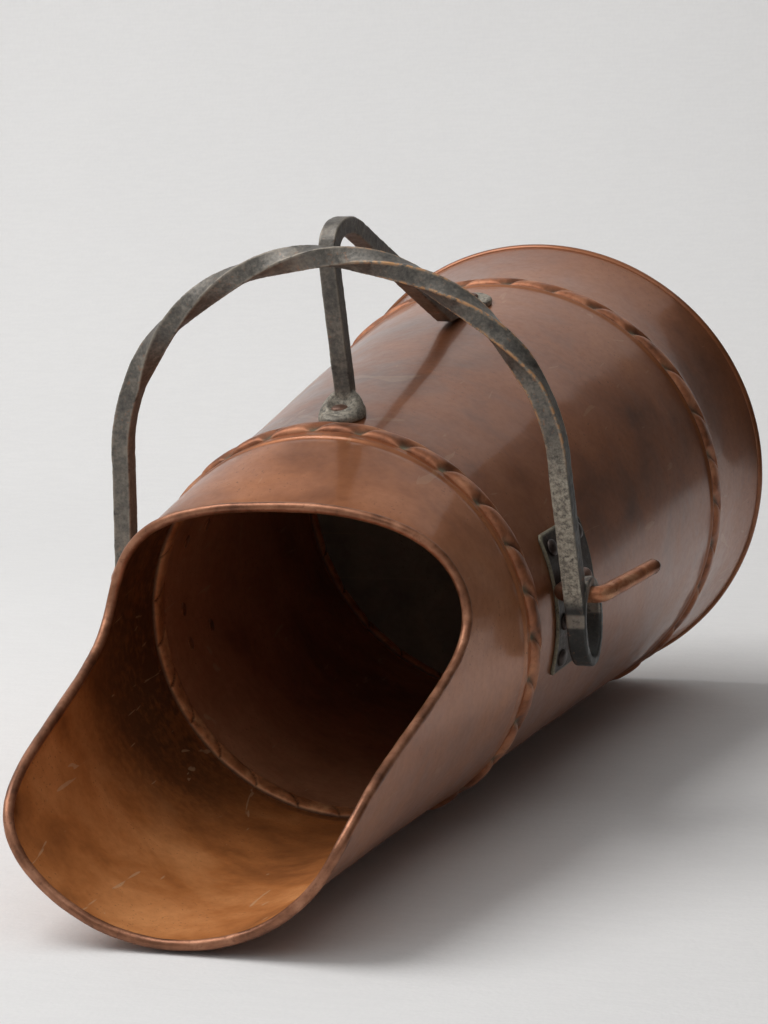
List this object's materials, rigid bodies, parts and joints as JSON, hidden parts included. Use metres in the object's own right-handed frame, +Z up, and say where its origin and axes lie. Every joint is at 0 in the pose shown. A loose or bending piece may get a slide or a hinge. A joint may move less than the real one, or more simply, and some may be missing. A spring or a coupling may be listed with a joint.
{
  "type": "coal scuttle",
  "caption": "Tall round scuttle on a flared foot, with a scoop-shaped pouring mouth, rope-pattern bands, a rear handle and a twisted bail that swings on side hooks.",
  "frame": {"origin": "on the body's axis, level with the underside of the foot", "axes": "+Z up the body's axis towards the lip, -Y towards the pouring lip, +Y towards the rear handle, +X to the right of someone who stands behind the lip's front and looks along +Y"},
  "size_m": [0.296, 0.3336, 0.604],
  "materials": {
    "copper_sheet": "old copper with a rose-brown patina, semi-polished",
    "copper_scoop": "old copper, warm orange-brown, scratched inside",
    "copper_bottom": "old copper, blackened by coal",
    "copper_edge": "old copper, rubbed bright on its crests, verdigris in its grooves",
    "copper_rivet": "copper, dull",
    "hook_metal": "copper-coloured rod, rubbed bright",
    "iron_bar": "wrought iron, dark grey with rust specks",
    "iron_plate": "wrought iron, dark, with pale corroded edges",
    "edge_wire": "plain iron wire"
  },
  "bodies": {
    "scuttle": {"foot": "copper_sheet", "foot_roll": "copper_edge", "foot_wire": "edge_wire", "base_band": "copper_edge", "bottom_plate": "copper_bottom", "barrel": "copper_sheet", "mouth_band": "copper_edge", "scoop": "copper_scoop", "rim_roll": "copper_edge", "rim_wire": "edge_wire", "rear_handle": "iron_bar", "handle_rivets": "copper_rivet", "left_ear_plate": "iron_plate", "right_ear_plate": "iron_plate", "left_ear_rivets": "copper_rivet", "right_ear_rivets": "copper_rivet", "left_hook": "hook_metal", "right_hook": "hook_metal"},
    "bail": {"bail": "iron_bar"}
  },
  "joints": [
    {"name": "bail_hinge", "type": "hinge", "parent": "scuttle", "child": "bail", "pos_m": [0, 0.0135, 0.351], "axis": [1, 0, 0], "range_deg": [0, 81]}
  ]
}
